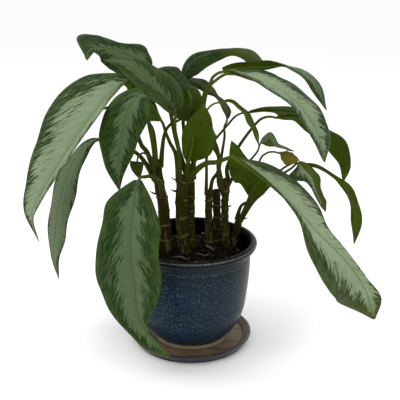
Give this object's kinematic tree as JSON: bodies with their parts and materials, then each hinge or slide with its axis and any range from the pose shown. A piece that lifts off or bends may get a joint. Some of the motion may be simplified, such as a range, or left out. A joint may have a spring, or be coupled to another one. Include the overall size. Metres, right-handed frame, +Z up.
{
  "type": "potted chinese evergreen",
  "caption": "Leafy house plant with long arching variegated leaves on ringed canes, growing in soil in a glazed round pot that stands on a saucer.",
  "frame": {"origin": "on the surface that the saucer stands on, at the axis of the pot", "axes": "+Z up along the axis of the pot; the side of the plant that faces the viewer in the picture faces -Y; +X to the viewer's right"},
  "size_m": [0.5849, 0.3486, 0.5094],
  "materials": {
    "pot_glaze": "gloss",
    "saucer_glaze": "satin",
    "potting_soil": "matte",
    "cane_bark": "matte",
    "leaf_green": "satin",
    "leaf_yellow": "satin"
  },
  "bodies": {
    "root": {"saucer": "saucer_glaze", "pot": "pot_glaze", "soil": "potting_soil", "cane_left": "cane_bark", "cane_centre": "cane_bark", "cane_centre_back": "cane_bark", "cane_right_slim": "cane_bark", "cane_right_stub": "cane_bark", "cane_right_ringed": "cane_bark", "cane_right_edge": "cane_bark", "leaf_front_left": "leaf_green", "leaf_front_right": "leaf_green", "leaf_left_pale": "leaf_green", "leaf_left_low": "leaf_green", "leaf_left_hanging": "leaf_green", "leaf_top_left_back": "leaf_green", "leaf_top_left_front": "leaf_green", "leaf_left_behind": "leaf_green", "leaf_back_left": "leaf_green", "leaf_centre_behind": "leaf_green", "leaf_small_left": "leaf_green", "leaf_back_top": "leaf_green", "leaf_small_top": "leaf_green", "leaf_young_upright": "leaf_green", "leaf_right_arch": "leaf_green", "leaf_right_pale": "leaf_green", "leaf_back_right_high": "leaf_green", "leaf_back_right_low": "leaf_green", "leaf_arched_narrow": "leaf_green", "leaf_back_centre": "leaf_green", "leaf_right_olive": "leaf_green", "leaf_small_pale": "leaf_green", "leaf_yellowing": "leaf_yellow", "leaf_right_drooping": "leaf_green", "leaf_right_narrow": "leaf_green", "leaf_back_far": "leaf_green"}
  },
  "joints": []
}
